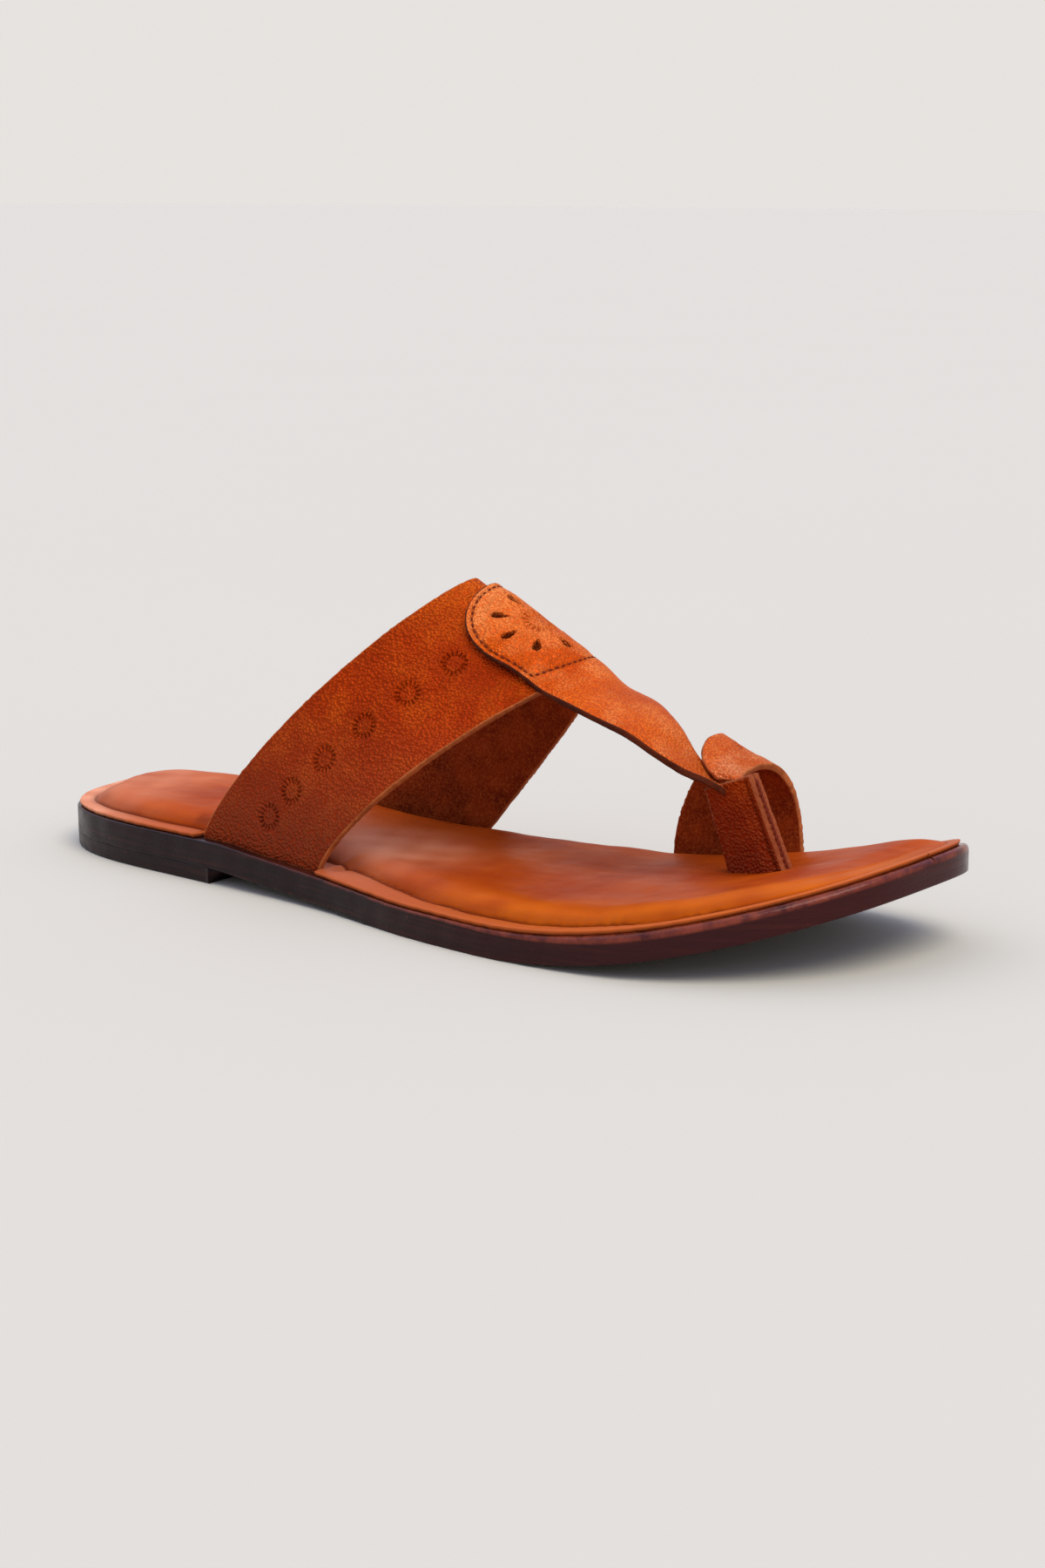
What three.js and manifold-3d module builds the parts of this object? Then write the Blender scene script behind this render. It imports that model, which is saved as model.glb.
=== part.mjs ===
// Kolhapuri sandal, right shoe: flat leather slide with an instep band, a T-strap and a toe loop.
// Millimetres. +X runs from heel to toe, +Y to the medial side (big toe), +Z up, floor at Z = 0.
import * as THREE from 'three';
import { mergeVertices } from 'three/addons/utils/BufferGeometryUtils.js';
import Module from 'manifold-3d';

const wasm = await Module();
wasm.setup();

// ---- driving dimensions -------------------------------------------------------------------

const GAP = 0.3;              // clearance kept between touching pieces
const SOLE_THICKNESS = 7.7;
const HEEL_LIFT = 4.5;        // height of the heel layer under the sole
const HEEL_BREAST = 72;       // where the heel layer ends, measured from the back of the heel
const WAIST_START = 77;       // where the sole starts to come down towards the floor
const WAIST_END = 150;        // where it reaches the floor
const WAIST_POWER = 1.5;
const TOE_SPRING_START = 178;
const TOE_SPRING_END = 277;
const TOE_SPRING = 20.5;        // rise of the sole at the toe tip
const TOE_SPRING_POWER = 1.9;

const RIM_INSET = 1.4;        // footbed edge inside the sole edge
const RIM_WIDTH = 4.5;        // flat margin around the padded middle
const RIM_THICKNESS = 1.6;
const PAD_HEIGHT = 3.2;       // how far the padded middle stands above the rim
const PAD_SHOULDER = 13;      // width over which the padding rises
const PAD_FADE = 0.75;        // share of the padding that is gone at the toe tip
const PAD_FADE_START = 0.78;  // where the padding starts to thin, from heel to toe
const PAD_FADE_END = 0.97;

const STRAP = 2;              // leather thickness of the straps
const POST_THICKNESS = 4.4;   // the toe post is the strap folded double
const STRAP_SINK = 0.5;       // how deep the T-strap head is pressed into the band to join it
const BASE_CLEARANCE = 0.5;   // strap ends stop this far above the sole
const SLOT_REACH = 14;        // how far a strap slot is opened outwards through the footbed rim
const SLOT_GAP = 0.7;         // clearance along the strap's inner face
const SLOT_MARGIN = 2;        // clearance shared by the two ends of a strap slot
const SLOT_DEPTH = 1.5;       // how far a slot reaches below the strap end

const SIDE_STATIONS = 60;     // stations from heel to toe along each side of the outline

// Centre of the outline's bounding box: the part's origin lies on the floor below it.
const ORIGIN = { x: 137.45, y: -3.2 };

// Outline of the sole, anticlockwise from below: heel back, lateral side, toe tip, medial side.
const OUTLINE = [
  { x: -2, y: 2 }, { x: 1, y: -15 }, { x: 11, y: -27 }, { x: 31, y: -34 }, { x: 69, y: -37.5 },
  { x: 114, y: -41.5 }, { x: 156, y: -50 }, { x: 192, y: -53 }, { x: 224, y: -48.5 },
  { x: 251, y: -33 }, { x: 269, y: -12 }, { x: 276, y: 12 },
  { x: 276, y: 29 }, { x: 267, y: 41.5 }, { x: 244, y: 46.5 }, { x: 209, y: 44.5 },
  { x: 174, y: 39.5 }, { x: 138, y: 34 }, { x: 102, y: 28 }, { x: 62, y: 31 }, { x: 29, y: 31.5 },
  { x: 9, y: 25.5 }, { x: -0.5, y: 16 },
];
const TOE_TIP = 11;           // row of OUTLINE at the toe tip

// Instep band. Each edge is an arch from a base on the sole over the instep to the other base.
// run, spread and rise are the powers that shape the arch along X, across Y and up Z.
const BAND_EDGES = {
  back: {
    lateral: { x: 67, y: -34, run: 1.35, spread: 1.2, rise: 1.1 },
    apex: { x: 131.5, y: 9.5, z: 87.2 },
    medial: { x: 75, y: 28.5, run: 1.3, spread: 1, rise: 0.93 },
  },
  front: {
    lateral: { x: 113, y: -38, run: 1.1, spread: 1.3, rise: 0.87 },
    apex: { x: 168.5, y: 11.5, z: 64.3 },
    medial: { x: 121, y: 29.5, run: 0.7, spread: 0.68, rise: 0.7 },
  },
};
const BAND = { edges: BAND_EDGES, stations: 44, columns: 6 };

// T-strap head: a disc lying on the band. Fractions run from the band's back edge to its front.
const HEAD_RADIUS = 18.3;
const HEAD_SHOULDER = 16;     // half width where the head runs out into the neck
const HEAD_TIP = 2.5;         // half width of the rounded tip
const HEAD_CENTRE = 0.55;
const HEAD_ROWS = [0.135, 0.165, 0.24, 0.36, 0.52, 0.7, 0.88, 1.04];

// T-strap between the band and the toe post: centre of its outer face, half width, droop of the
// edges, roll about its length and turn towards the toe.
const NECK_ROWS = [
  { x: 182.5, y: 6, z: 60, half: 14, droop: 2.4, roll: 0, turn: 0 },
  { x: 195, y: 3.5, z: 54.6, half: 11.8, droop: 1, roll: -0.02, turn: 0 },
  { x: 204, y: 2.5, z: 47.8, half: 9.2, droop: 0.5, roll: -0.2, turn: 0.05 },
  { x: 211, y: 4, z: 41.8, half: 7.3, droop: 0.2, roll: -0.45, turn: 0.35 },
  { x: 216, y: 7.6, z: 37.6, half: 5.4, droop: 0, roll: -0.5, turn: 0.9 },
];
const NECK_COLUMNS = 8;
const NECK_STEPS = 4;         // loft steps between rows

// Toe post: a flat doubled strap standing between the big toe and its neighbour.
const POST = {
  backTop: { x: 211.5, y: 8.5, z: 38 },
  frontTop: { x: 224.5, y: 7, z: 43 },
  backFoot: { x: 220, y: 9.5 },
  frontFoot: { x: 237, y: 7 },
};

// Toe loop over the big toe, from the top of the post to the medial edge of the sole.
const LOOP_EDGES = {
  back: {
    lateral: { x: 213, y: 6.5, z: 41, run: 1.05, spread: 1.2, rise: 1 },
    apex: { x: 202.5, y: 22, z: 49 },
    medial: { x: 180.5, y: 37.5, run: 1.35, spread: 0.62, rise: 0.62 },
  },
  front: {
    lateral: { x: 222.5, y: 7.5, z: 41.5, run: 1, spread: 1, rise: 1 },
    apex: { x: 217.5, y: 22.5, z: 42.4 },
    medial: { x: 220.5, y: 42.5, run: 1, spread: 0.94, rise: 0.65 },
  },
};
const LOOP = { edges: LOOP_EDGES, stations: 26, columns: 5 };

// ---- sole profile and outline -------------------------------------------------------------

// Height of the sole's underside above the floor at distance x from the heel.
function soleUnderside(x) {
  const waist = Math.min(1, Math.max(0, (WAIST_END - x) / (WAIST_END - WAIST_START)));
  const spring = Math.max(0, (x - TOE_SPRING_START) / (TOE_SPRING_END - TOE_SPRING_START));
  return HEEL_LIFT * waist ** WAIST_POWER + TOE_SPRING * spring ** TOE_SPRING_POWER;
}

function soleTop(x) {
  return soleUnderside(x) + SOLE_THICKNESS;
}

const outlineCurve = new THREE.CatmullRomCurve3(
  OUTLINE.map((row) => new THREE.Vector3(row.x, row.y, 0)), true, 'catmullrom', 0.5);

// Point of the outline, moved inwards by inset. fraction 0 is the heel back, 1 the toe tip.
function outlinePoint(fraction, medial, inset) {
  const toe = TOE_TIP / OUTLINE.length;
  const t = medial ? 1 - fraction * (1 - toe) : fraction * toe;
  const point = outlineCurve.getPoint(t % 1);
  const tangent = outlineCurve.getTangent(t % 1);
  return new THREE.Vector2(point.x - tangent.y * inset, point.y + tangent.x * inset);
}

// Paired lateral and medial points of the outline, from heel to toe.
function outlinePairs(inset) {
  const pairs = [];
  for (let i = 0; i <= SIDE_STATIONS; i += 1) {
    const fraction = i / SIDE_STATIONS;
    pairs.push({
      lateral: outlinePoint(fraction, false, inset),
      medial: outlinePoint(fraction, true, inset),
    });
  }
  return pairs;
}

// ---- meshes -------------------------------------------------------------------------------

function meshGeometry(vertices, triangles) {
  const geometry = new THREE.BufferGeometry();
  geometry.setAttribute('position', new THREE.Float32BufferAttribute(vertices.flat(), 3));
  geometry.setIndex(triangles.flat());
  return mergeVertices(geometry, 1e-4);
}

function toSolid(geometry) {
  return new wasm.Manifold(new wasm.Mesh({
    numProp: 3,
    vertProperties: new Float32Array(geometry.attributes.position.array),
    triVerts: new Uint32Array(geometry.index.array),
  }));
}

// Drops the pinholes that overlapping layers can leave inside a joined solid.
function largestPiece(solid) {
  return solid.decompose().reduce((best, other) => (other.volume() > best.volume() ? other : best));
}

function fromSolid(solid) {
  const mesh = solid.getMesh();
  const geometry = new THREE.BufferGeometry();
  geometry.setAttribute('position', new THREE.BufferAttribute(mesh.vertProperties, 3));
  geometry.setIndex(new THREE.BufferAttribute(mesh.triVerts, 1));
  geometry.computeVertexNormals();
  return geometry;
}

// Closed solid between two grids of equal size. The upper grid is seen with rows running along
// and columns running to the left.
function solidBetween(upper, lower) {
  const rows = upper.length;
  const columns = upper[0].length;
  const vertices = [...upper.flat(), ...lower.flat()];
  const top = (i, j) => i * columns + j;
  const bottom = (i, j) => rows * columns + i * columns + j;
  const triangles = [];
  const quad = (a, b, c, d) => triangles.push([a, b, c], [a, c, d]);
  for (let i = 0; i < rows - 1; i += 1) {
    for (let j = 0; j < columns - 1; j += 1) {
      quad(top(i, j), top(i + 1, j), top(i + 1, j + 1), top(i, j + 1));
      quad(bottom(i, j), bottom(i, j + 1), bottom(i + 1, j + 1), bottom(i + 1, j));
    }
    quad(top(i, 0), bottom(i, 0), bottom(i + 1, 0), top(i + 1, 0));
    quad(top(i + 1, columns - 1), bottom(i + 1, columns - 1), bottom(i, columns - 1), top(i, columns - 1));
  }
  for (let j = 0; j < columns - 1; j += 1) {
    quad(top(0, j + 1), bottom(0, j + 1), bottom(0, j), top(0, j));
    quad(top(rows - 1, j), bottom(rows - 1, j), bottom(rows - 1, j + 1), top(rows - 1, j + 1));
  }
  return meshGeometry(vertices, triangles);
}

// Closed solid over the outline: rings of falling inset give the edge, and a ladder of paired
// points closes the top and the bottom. heightAt gives the upper surface, floorAt the lower.
function outlineSolid(inset, insetSteps, across, heightAt, floorAt, lastStation) {
  const upper = [];
  const lower = [];
  const rings = insetSteps.map((step) => outlinePairs(inset + step));
  for (let i = 0; i <= lastStation; i += 1) {
    const inner = rings[rings.length - 1][i];
    const row = [];
    rings.forEach((ring, k) => row.push({ p: ring[i].lateral, depth: insetSteps[k] }));
    for (let k = 1; k < across; k += 1) {
      const p = inner.lateral.clone().lerp(inner.medial, k / across);
      const reach = Math.min(p.distanceTo(inner.lateral), p.distanceTo(inner.medial));
      row.push({ p, depth: insetSteps[insetSteps.length - 1] + reach });
    }
    [...rings].reverse().forEach((ring, k) => {
      row.push({ p: ring[i].medial, depth: insetSteps[insetSteps.length - 1 - k] });
    });
    upper.push(row.map(({ p, depth }) => [p.x, p.y, heightAt(p.x, depth, i / SIDE_STATIONS)]));
    lower.push(row.map(({ p }) => [p.x, p.y, floorAt(p.x)]));
  }
  return solidBetween(upper, lower);
}

// ---- straps -------------------------------------------------------------------------------

// One edge of an arched strap. fraction 0 is the lateral end, 0.5 the apex, 1 the medial end.
function archPoint(edge, fraction) {
  const side = fraction < 0.5 ? edge.lateral : edge.medial;
  const angle = Math.min(fraction, 1 - fraction) * Math.PI;
  const base = side.z ?? soleTop(side.x) + BASE_CLEARANCE;
  return new THREE.Vector3(
    side.x + (edge.apex.x - side.x) * Math.sin(angle) ** side.run,
    edge.apex.y + (side.y - edge.apex.y) * Math.max(0, Math.cos(angle)) ** side.spread,
    base + (edge.apex.z - base) * Math.sin(angle) ** side.rise,
  );
}

function strapPoint(edges, fraction, across, clearance = BASE_CLEARANCE) {
  const point = archPoint(edges.back, fraction).lerp(archPoint(edges.front, fraction), across);
  point.z = Math.max(point.z, soleTop(point.x) + clearance);
  return point;
}

// Normals of a grid of points, pointing away from the foot.
function gridNormals(grid) {
  return grid.map((row, i) => row.map((point, j) => {
    const along = grid[Math.min(i + 1, grid.length - 1)][j].clone().sub(grid[Math.max(i - 1, 0)][j]);
    const over = row[Math.min(j + 1, row.length - 1)].clone().sub(row[Math.max(j - 1, 0)]);
    return along.cross(over).normalize();
  }));
}

// Sheet between an inner and an outer offset of the grid along its normals.
function sheetSolid(grid, inner, outer) {
  const normals = gridNormals(grid);
  const offset = (distance) => grid.map((row, i) => row.map((point, j) => (
    point.clone().addScaledVector(normals[i][j], distance).toArray())));
  return solidBetween(offset(outer), offset(inner));
}

// Strap leather with its outer face on the grid.
function strapSolid(grid) {
  return sheetSolid(grid, -STRAP, 0);
}

// Grid over an arched strap between two of its stations.
function archGrid({ edges, stations, columns }, first, last, clearance) {
  const grid = [];
  for (let i = first; i <= last; i += 1) {
    const row = [];
    for (let j = columns; j >= 0; j -= 1) {
      row.push(strapPoint(edges, i / stations, j / columns, clearance));
    }
    grid.push(row);
  }
  return grid;
}

// Point of the band's outer face at an arc distance from the apex line, medial positive.
function bandPointFromApex(distance, across, lift) {
  const stepCount = 60;
  const direction = Math.sign(distance) || 1;
  let point = strapPoint(BAND_EDGES, 0.5, across);
  let walked = 0;
  let fraction = 0.5;
  while (walked < Math.abs(distance)) {
    fraction += (direction * 0.5) / stepCount;
    const next = strapPoint(BAND_EDGES, fraction, across);
    const step = next.distanceTo(point);
    const share = Math.min(1, (Math.abs(distance) - walked) / step);
    point = point.clone().lerp(next, share);
    walked += step;
  }
  const nudge = 0.01;
  const over = strapPoint(BAND_EDGES, fraction, across + nudge)
    .sub(strapPoint(BAND_EDGES, fraction, across - nudge));
  const along = strapPoint(BAND_EDGES, fraction + nudge, across)
    .sub(strapPoint(BAND_EDGES, fraction - nudge, across));
  return point.addScaledVector(over.cross(along).normalize(), lift);
}

// Half width of the disc-shaped head at a fraction of the band's width.
function headHalfWidth(across) {
  const bandWidth = strapPoint(BAND_EDGES, 0.5, 0).distanceTo(strapPoint(BAND_EDGES, 0.5, 1));
  const fromCentre = (across - HEAD_CENTRE) * bandWidth;
  const round = Math.sqrt(Math.max(0, HEAD_RADIUS ** 2 - fromCentre ** 2));
  return fromCentre > 0 ? Math.max(HEAD_SHOULDER, round) : Math.max(HEAD_TIP, round);
}

function headRow(across) {
  const half = headHalfWidth(across);
  const row = [];
  for (let j = 0; j <= NECK_COLUMNS; j += 1) {
    const side = (j / NECK_COLUMNS) * 2 - 1;
    row.push(bandPointFromApex(side * half, across, STRAP - STRAP_SINK));
  }
  return row;
}

function neckRow(row) {
  const points = [];
  for (let j = 0; j <= NECK_COLUMNS; j += 1) {
    const side = (j / NECK_COLUMNS) * 2 - 1;
    const sag = row.droop * side * side;
    const reach = row.half * side * Math.cos(row.roll);
    points.push(new THREE.Vector3(
      row.x + reach * Math.sin(row.turn),
      row.y + reach * Math.cos(row.turn),
      row.z + row.half * side * Math.sin(row.roll) - sag,
    ));
  }
  return points;
}

// Rows refined by a smooth curve through each column. Columns then run lateral to medial.
function loftRows(rows, steps) {
  const columns = rows[0].map((_, j) => new THREE.CatmullRomCurve3(rows.map((row) => row[j])));
  const count = (rows.length - 1) * steps;
  const grid = [];
  for (let i = 0; i <= count; i += 1) grid.push(columns.map((curve) => curve.getPoint(i / count)));
  return grid;
}

function tStrapGeometry() {
  const rows = [...HEAD_ROWS.map(headRow), ...NECK_ROWS.map(neckRow)];
  return strapSolid(loftRows(rows, NECK_STEPS));
}

// Middle surface of the post. margin widens it on every side, drop lowers its foot.
function postGrid(margin, drop) {
  const foot = (corner, side) => new THREE.Vector3(
    corner.x + side * margin, corner.y, soleTop(corner.x) + BASE_CLEARANCE - drop);
  const top = (corner, side) => new THREE.Vector3(corner.x + side * margin, corner.y, corner.z + margin);
  const grid = [];
  const heights = 5;
  for (let i = 0; i <= heights; i += 1) {
    const back = foot(POST.backFoot, -1).lerp(top(POST.backTop, -1), i / heights);
    const front = foot(POST.frontFoot, 1).lerp(top(POST.frontTop, 1), i / heights);
    grid.push([front, front.clone().lerp(back, 0.5), back]);
  }
  return grid;
}

// ---- pieces -------------------------------------------------------------------------------

function outsole() {
  return outlineSolid(0, [0], 2, (x) => soleTop(x), soleUnderside, SIDE_STATIONS);
}

// Stacked layer under the heel, cut square at the breast.
function heelLift() {
  const pairs = outlinePairs(0.4);
  const last = pairs.findIndex((pair) => pair.lateral.x > HEEL_BREAST);
  const cut = (pair) => {
    const limit = (p) => [Math.min(p.x, HEEL_BREAST), p.y];
    return { lateral: limit(pair.lateral), medial: limit(pair.medial) };
  };
  const rows = pairs.slice(0, last + 1).map(cut);
  const level = (z) => rows.map((row) => [[...row.lateral, z], [...row.medial, z]]);
  return solidBetween(level(HEEL_LIFT - GAP), level(0));
}

// Leather-covered padding: a flat rim and a puffed middle that flattens towards the toe.
function footbedBlank() {
  const heightAt = (x, depth, fraction) => {
    const inward = Math.max(0, depth - RIM_WIDTH) / PAD_SHOULDER;
    const swell = Math.sin(Math.min(1, inward) * Math.PI / 2) ** 0.8;
    const fade = 1 - PAD_FADE * THREE.MathUtils.smoothstep(fraction, PAD_FADE_START, PAD_FADE_END);
    return soleTop(x) + GAP + RIM_THICKNESS + PAD_HEIGHT * swell * fade;
  };
  const steps = [0, RIM_WIDTH, RIM_WIDTH + 2, RIM_WIDTH + 5.5];
  return outlineSolid(RIM_INSET, steps, 6, heightAt, (x) => soleTop(x) + GAP, SIDE_STATIONS);
}

// Space that a strap end needs in the footbed, opened outwards through the rim.
function archSlot(strap, side, length) {
  const clearance = BASE_CLEARANCE - SLOT_DEPTH;
  const edges = structuredClone(strap.edges);
  [edges.back, edges.front].forEach((edge, index) => {
    edge[side].x += index === 0 ? -SLOT_MARGIN / 2 : SLOT_MARGIN / 2;
    edge[side].z = soleTop(edge[side].x) + clearance;
  });
  const first = side === 'lateral' ? 0 : strap.stations - length;
  const grid = archGrid({ ...strap, edges }, first, first + length, clearance);
  return sheetSolid(grid, -STRAP - SLOT_GAP, SLOT_REACH);
}

function footbed() {
  const postHalf = POST_THICKNESS / 2 + SLOT_GAP;
  const slots = [
    archSlot(BAND, 'lateral', 5),
    archSlot(BAND, 'medial', 5),
    archSlot(LOOP, 'medial', 5),
    sheetSolid(postGrid(SLOT_MARGIN / 2, SLOT_DEPTH), -postHalf, postHalf),
  ];
  return slots.reduce((solid, slot) => solid.subtract(toSolid(slot)), toSolid(footbedBlank()));
}

function upper() {
  const band = strapSolid(archGrid(BAND, 0, BAND.stations));
  const loop = strapSolid(archGrid(LOOP, 0, LOOP.stations));
  const post = sheetSolid(postGrid(0, 0), -POST_THICKNESS / 2, POST_THICKNESS / 2);
  const joined = [tStrapGeometry(), loop, post].reduce((solid, strap) => solid.add(toSolid(strap)), toSolid(band));
  return largestPiece(joined);
}

// ---- assembly -----------------------------------------------------------------------------

function leather(color, roughness) {
  return new THREE.MeshStandardMaterial({ color, roughness, metalness: 0 });
}

function piece(name, geometry, material) {
  const mesh = new THREE.Mesh(geometry, material);
  mesh.name = name;
  mesh.position.set(-ORIGIN.x, -ORIGIN.y, 0);
  return mesh;
}

const edgeDyed = leather(0x2a1410, 0.45);
const tan = leather(0xb5541c, 0.5);
const tanStrap = leather(0xb04c17, 0.5);

const sandal = new THREE.Group();
sandal.add(piece('outsole', outsole(), edgeDyed));
sandal.add(piece('heel_lift', heelLift(), edgeDyed));
sandal.add(piece('footbed', fromSolid(footbed()), tan));
sandal.add(piece('upper', fromSolid(upper()), tanStrap));

export default sandal;
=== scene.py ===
"""Looks of a kolhapuri sandal, right shoe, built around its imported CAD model.

Shapes are worked out in millimetres in the shoe's own frame: X runs from the back of the heel to
the toe, Y to the medial side and Z up, with the floor at Z = 0. add_piece() moves them into the
part's frame, in metres.
"""
import math

import bmesh
import bpy
import numpy as np
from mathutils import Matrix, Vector


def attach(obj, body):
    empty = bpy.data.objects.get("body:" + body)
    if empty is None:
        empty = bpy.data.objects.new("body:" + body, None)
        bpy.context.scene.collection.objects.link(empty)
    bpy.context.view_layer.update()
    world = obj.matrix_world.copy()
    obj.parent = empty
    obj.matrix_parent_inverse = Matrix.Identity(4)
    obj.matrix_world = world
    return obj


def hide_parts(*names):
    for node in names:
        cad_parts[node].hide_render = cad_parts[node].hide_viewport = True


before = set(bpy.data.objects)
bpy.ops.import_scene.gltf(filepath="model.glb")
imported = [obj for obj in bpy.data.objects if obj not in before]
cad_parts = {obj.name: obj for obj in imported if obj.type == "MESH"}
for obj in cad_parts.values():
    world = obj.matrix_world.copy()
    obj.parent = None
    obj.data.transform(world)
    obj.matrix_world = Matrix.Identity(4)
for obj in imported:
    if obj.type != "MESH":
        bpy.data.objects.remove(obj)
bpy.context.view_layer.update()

# ---- sole and footbed sizes ---------------------------------------------------------------

ORIGIN = (137.45, -3.2, 0.0)   # the part's origin in the shoe's frame
SOLE_THICKNESS = 7.7
HEEL_LIFT = 4.5
HEEL_BREAST = 72.0
WAIST_START, WAIST_END, WAIST_POWER = 77.0, 150.0, 1.5
SPRING_START, SPRING_END, SPRING, SPRING_POWER = 178.0, 277.0, 20.5, 1.9
GAP = 0.3

RIM_INSET = 1.4
RIM_EDGE = 0.75                # the footbed leather's ragged edge lies this far in
RIM_WIDTH = 4.5
RIM_FLARE = 4.4                # the rim is this much wider just before the band, laterally
RIM_THICKNESS = 1.1
RIM_SEAT = 0.08                # gap between the footbed leather's edge and the sole
PAD_HEIGHT = 3.7
PAD_SHOULDER = 10.0
PAD_FADE, PAD_FADE_START, PAD_FADE_END = 0.75, 0.78, 0.97

STRAP = 2.0
POST_THICKNESS = 4.4
STRAP_LIFT = 2.4               # the T-strap's head stands this far above the band
BASE_CLEARANCE = 0.1

# Outline of the sole, from the back of the heel along the lateral side to the toe and back.
OUTLINE = np.array([
    (-2, 2), (1, -15), (11, -27), (31, -34), (69, -37.5), (114, -41.5), (156, -50), (192, -53),
    (224, -48.5), (251, -33), (269, -12), (276, 12), (276, 29), (267, 41.5), (244, 46.5),
    (209, 44.5), (174, 39.5), (138, 34), (102, 28), (62, 31), (29, 31.5), (9, 25.5), (-0.5, 16),
], float)
TOE_TIP = 11

# Strap edges: an arch from a base on the sole over the instep or toe to the other base. run,
# spread and rise are the powers that shape the arch along X, across Y and up Z.
BAND_EDGES = {
    "back": {
        "lateral": {"x": 67, "y": -34, "run": 1.35, "spread": 1.2, "rise": 1.1},
        "apex": (131.5, 9.5, 87.2),
        "medial": {"x": 75, "y": 28.5, "run": 1.3, "spread": 1, "rise": 0.93},
    },
    "front": {
        "lateral": {"x": 113, "y": -38, "run": 1.1, "spread": 1.3, "rise": 0.87},
        "apex": (168.5, 11.5, 64.3),
        "medial": {"x": 121, "y": 29.5, "run": 0.7, "spread": 0.68, "rise": 0.7},
    },
}
LOOP_EDGES = {
    "back": {
        "lateral": {"x": 213, "y": 6.5, "z": 41, "run": 1.05, "spread": 1.2, "rise": 1},
        "apex": (202.5, 22, 49),
        "medial": {"x": 180.5, "y": 37.5, "run": 1.35, "spread": 0.62, "rise": 0.62},
    },
    "front": {
        "lateral": {"x": 222.5, "y": 7.5, "z": 41.5, "run": 1, "spread": 1, "rise": 1},
        "apex": (217.5, 22.5, 42.4),
        "medial": {"x": 220.5, "y": 42.5, "run": 1, "spread": 0.94, "rise": 0.65},
    },
}

HEAD_RADIUS = 18.3
HEAD_SHOULDER = 17.2
SHOULDER_BLEND = 0.8           # rounding where the head runs out into the neck
NECK_START = 14.4              # where the head's own shape hands over to the neck rows
HEAD_END = 21.3                # front row of the head's outline, which guides the neck's curve
HEAD_CENTRE = 0.55             # the head's centre, from the band's back edge to its front
NECK_ROWS = [
    {"x": 182.5, "y": 6, "z": 60, "half": 14.4, "droop": 2.4, "roll": 0, "turn": 0},
    {"x": 195, "y": 3.5, "z": 54.6, "half": 11.8, "droop": 1, "roll": -0.02, "turn": 0},
    {"x": 204, "y": 2.5, "z": 47.8, "half": 9.2, "droop": 0.5, "roll": -0.2, "turn": 0.05},
    {"x": 211, "y": 4, "z": 41.8, "half": 7.3, "droop": 0.2, "roll": -0.45, "turn": 0.35},
    {"x": 216, "y": 6.6, "z": 39.2, "half": 4.6, "droop": 0, "roll": -0.5, "turn": 0.55},
    {"x": 220, "y": 8, "z": 36.8, "half": 2, "droop": 0, "roll": -0.5, "turn": 0.7},
]
POST_TOP = {"back": (211.5, 8.5, 38), "front": (224.5, 7, 43)}
POST_FOOT = {"back": (220, 9.5), "front": (237, 7)}
POST_DIP = (229, 8.5)          # middle of the dip that the post presses into the footbed
PLEAT = (119, -32.5)           # middle of the pleat in front of the band's lateral end

# ---- decoration sizes ---------------------------------------------------------------------

# Sunburst stamps: arc distance from the apex line and place from the back edge to the front.
# Down from the apex the band's row is evenly spaced, nears the back edge and closes up at its end.
STAMP_COUNT = 6
STAMP_START, STAMP_PITCH = 25.5, 15.0
STAMP_CROWDING, STAMP_CROWDING_POWER = 6.0, 6
STAMP_PLACE, STAMP_DRIFT = 0.49, 0.07
BAND_STAMPS = [
    (STAMP_START + STAMP_PITCH * step
     - STAMP_CROWDING * (step / (STAMP_COUNT - 1)) ** STAMP_CROWDING_POWER,
     STAMP_PLACE - STAMP_DRIFT * step / (STAMP_COUNT - 1))
    for step in range(STAMP_COUNT)
]
LOOP_STAMPS = [(6.0, 0.5), (19.5, 0.47), (32.0, 0.44)]
STAMP_RAYS = 16
STAMP_REACH = 4.6              # half the side of the fine mesh round a stamp
STAMP_ROOM = 8.0               # least distance of a stamp from the strap's end
PETALS = 8
PETAL_RING = 9.7
PETAL_LENGTH = 4.9
PETAL_HALF_WIDTH = 1.15
PETAL_DEPTH = 1.5
HEAD_SEAM_RADIUS = HEAD_RADIUS - 1.7
HEAD_SEAM_FRONT = 15.4         # where the seam crosses the strap in front of the head's centre
HEAD_SEAM_SAG = 1.5            # how far that stretch bows forward
POST_SEAM = 1.7                # distance of the groove along the post from its front edge
POST_THREAD = 0.6              # radius of the thread in the channel between its layers

EDGE_BEVEL = 0.4
EDGE_FRAY = 0.13               # how far a cut edge wavers
FINE, COARSE = 0.25, 1.2       # mesh spacing at the stamps and elsewhere


# ---- curves and surfaces of the shoe ------------------------------------------------------

def ramp(value, start, end):
    share = np.clip((value - start) / (end - start), 0, 1)
    return share * share * (3 - 2 * share)


def bump_at(value, centre, width):
    """1 at the centre, falling smoothly to 0 over about the width."""
    return np.exp(-((value - centre) / width) ** 2)


def unit(vectors):
    return vectors / np.maximum(np.linalg.norm(vectors, axis=-1, keepdims=True), 1e-9)


def waves(points, size, seed):
    """Smooth random undulation from about -1 to 1, with features about size apart."""
    rng = np.random.default_rng(seed)
    total = np.zeros(points.shape[:-1])
    for _ in range(7):
        direction = unit(rng.normal(size=points.shape[-1]))
        pace = 2 * math.pi / size * rng.uniform(0.6, 1.5)
        total += np.sin(points @ direction * pace + rng.uniform(0, 2 * math.pi))
    return total / 3.5


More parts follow.
